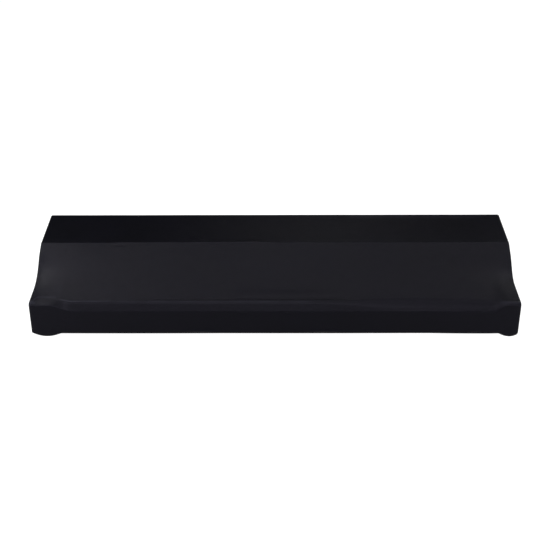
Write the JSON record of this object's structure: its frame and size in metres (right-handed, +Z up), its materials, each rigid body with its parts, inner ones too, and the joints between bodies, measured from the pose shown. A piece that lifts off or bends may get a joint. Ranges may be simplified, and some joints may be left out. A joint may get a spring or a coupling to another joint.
{
  "type": "fitted keyboard dust cover",
  "caption": "Stretch knit dust cover in the shape it has when worn: low front, hollow slope, flat top and back, with a hem turned under all round.",
  "frame": {"origin": "underside of the top cloth, halfway along the cover and 304 mm behind its front face", "axes": "+X along the cover to the right as seen from the front, +Y to the rear, +Z up"},
  "size_m": [1.292, 0.39, 0.168],
  "materials": {
    "black_knit": "matte stretch knit with a faint satin sheen"
  },
  "bodies": {
    "root": {"main_panel": "black_knit", "end_panel_left": "black_knit", "end_panel_right": "black_knit"}
  },
  "joints": []
}
